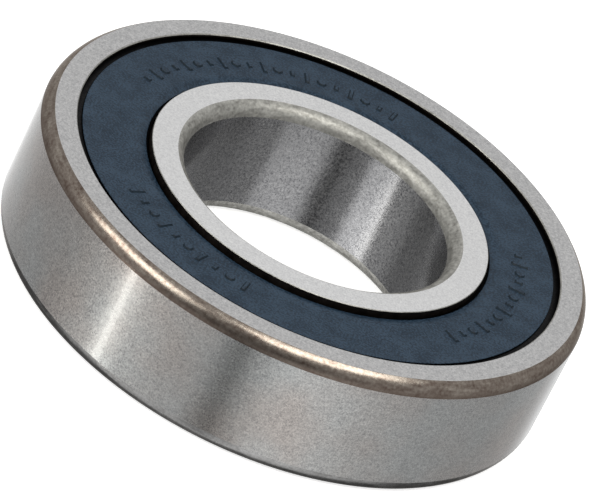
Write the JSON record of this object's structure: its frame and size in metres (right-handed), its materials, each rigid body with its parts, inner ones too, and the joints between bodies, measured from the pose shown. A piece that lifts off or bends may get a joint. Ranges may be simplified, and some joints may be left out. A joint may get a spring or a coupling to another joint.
{
  "type": "sealed deep-groove ball bearing",
  "caption": "Round rolling bearing with an inner ring that spins freely in an outer ring on a row of caged balls, closed on both sides by rubber seals.",
  "frame": {"origin": "centre of the bearing, on its axis and half way between the two ring faces", "axes": "+Z along the bearing axis towards the front seal; +X through the centre of ball_1"},
  "size_m": [0.072, 0.072, 0.017],
  "materials": {
    "outer_ring_steel": "ground satin bearing steel, turned corners with a brown heat tint",
    "inner_ring_steel": "ground satin bearing steel, honed bore",
    "ball_steel": "lapped bearing steel",
    "cage_steel": "pressed low-carbon steel strip",
    "rivet_steel": "cold-headed steel",
    "seal_rubber": "moulded blue-black nitrile rubber with a fine grain",
    "insert_steel": "phosphated steel sheet",
    "grease": "pale amber bearing grease"
  },
  "bodies": {
    "outer_ring": {"outer_ring": "outer_ring_steel", "seal_front_rubber": "seal_rubber", "seal_front_insert": "insert_steel", "seal_rear_rubber": "seal_rubber", "seal_rear_insert": "insert_steel", "grease_front": "grease", "grease_rear": "grease"},
    "inner_ring": {"inner_ring": "inner_ring_steel"},
    "cage": {"cage_front": "cage_steel", "cage_rear": "cage_steel", "cage_rivets": "rivet_steel"},
    "ball_1": {"ball_1": "ball_steel"},
    "ball_2": {"ball_2": "ball_steel"},
    "ball_3": {"ball_3": "ball_steel"},
    "ball_4": {"ball_4": "ball_steel"},
    "ball_5": {"ball_5": "ball_steel"},
    "ball_6": {"ball_6": "ball_steel"},
    "ball_7": {"ball_7": "ball_steel"},
    "ball_8": {"ball_8": "ball_steel"},
    "ball_9": {"ball_9": "ball_steel"}
  },
  "joints": [
    {"name": "inner_ring_spin", "type": "hinge", "parent": "outer_ring", "child": "inner_ring", "pos_m": [0, 0, 0], "axis": [0, 0, 1], "continuous": true},
    {"name": "cage_spin", "type": "hinge", "parent": "outer_ring", "child": "cage", "pos_m": [0, 0, 0], "axis": [0, 0, 1], "continuous": true},
    {"name": "ball_1_spin", "type": "hinge", "parent": "cage", "child": "ball_1", "pos_m": [0.02675, 0, 0], "axis": [0, 0, 1], "continuous": true},
    {"name": "ball_2_spin", "type": "hinge", "parent": "cage", "child": "ball_2", "pos_m": [0.02049, 0.01719, 0], "axis": [0, 0, 1], "continuous": true},
    {"name": "ball_3_spin", "type": "hinge", "parent": "cage", "child": "ball_3", "pos_m": [0.00465, 0.02634, 0], "axis": [0, 0, 1], "continuous": true},
    {"name": "ball_4_spin", "type": "hinge", "parent": "cage", "child": "ball_4", "pos_m": [-0.01337, 0.02317, 0], "axis": [0, 0, 1], "continuous": true},
    {"name": "ball_5_spin", "type": "hinge", "parent": "cage", "child": "ball_5", "pos_m": [-0.02514, 0.00915, 0], "axis": [0, 0, 1], "continuous": true},
    {"name": "ball_6_spin", "type": "hinge", "parent": "cage", "child": "ball_6", "pos_m": [-0.02514, -0.00915, 0], "axis": [0, 0, 1], "continuous": true},
    {"name": "ball_7_spin", "type": "hinge", "parent": "cage", "child": "ball_7", "pos_m": [-0.01337, -0.02317, 0], "axis": [0, 0, 1], "continuous": true},
    {"name": "ball_8_spin", "type": "hinge", "parent": "cage", "child": "ball_8", "pos_m": [0.00465, -0.02634, 0], "axis": [0, 0, 1], "continuous": true},
    {"name": "ball_9_spin", "type": "hinge", "parent": "cage", "child": "ball_9", "pos_m": [0.02049, -0.01719, 0], "axis": [0, 0, 1], "continuous": true}
  ],
  "couplings": [
    {"joint": "cage_spin", "follows": "inner_ring_spin", "ratio": 0.39615},
    {"joint": "ball_1_spin", "follows": "inner_ring_spin", "ratio": -2.3035},
    {"joint": "ball_2_spin", "follows": "inner_ring_spin", "ratio": -2.3035},
    {"joint": "ball_3_spin", "follows": "inner_ring_spin", "ratio": -2.3035},
    {"joint": "ball_4_spin", "follows": "inner_ring_spin", "ratio": -2.3035},
    {"joint": "ball_5_spin", "follows": "inner_ring_spin", "ratio": -2.3035},
    {"joint": "ball_6_spin", "follows": "inner_ring_spin", "ratio": -2.3035},
    {"joint": "ball_7_spin", "follows": "inner_ring_spin", "ratio": -2.3035},
    {"joint": "ball_8_spin", "follows": "inner_ring_spin", "ratio": -2.3035},
    {"joint": "ball_9_spin", "follows": "inner_ring_spin", "ratio": -2.3035}
  ]
}
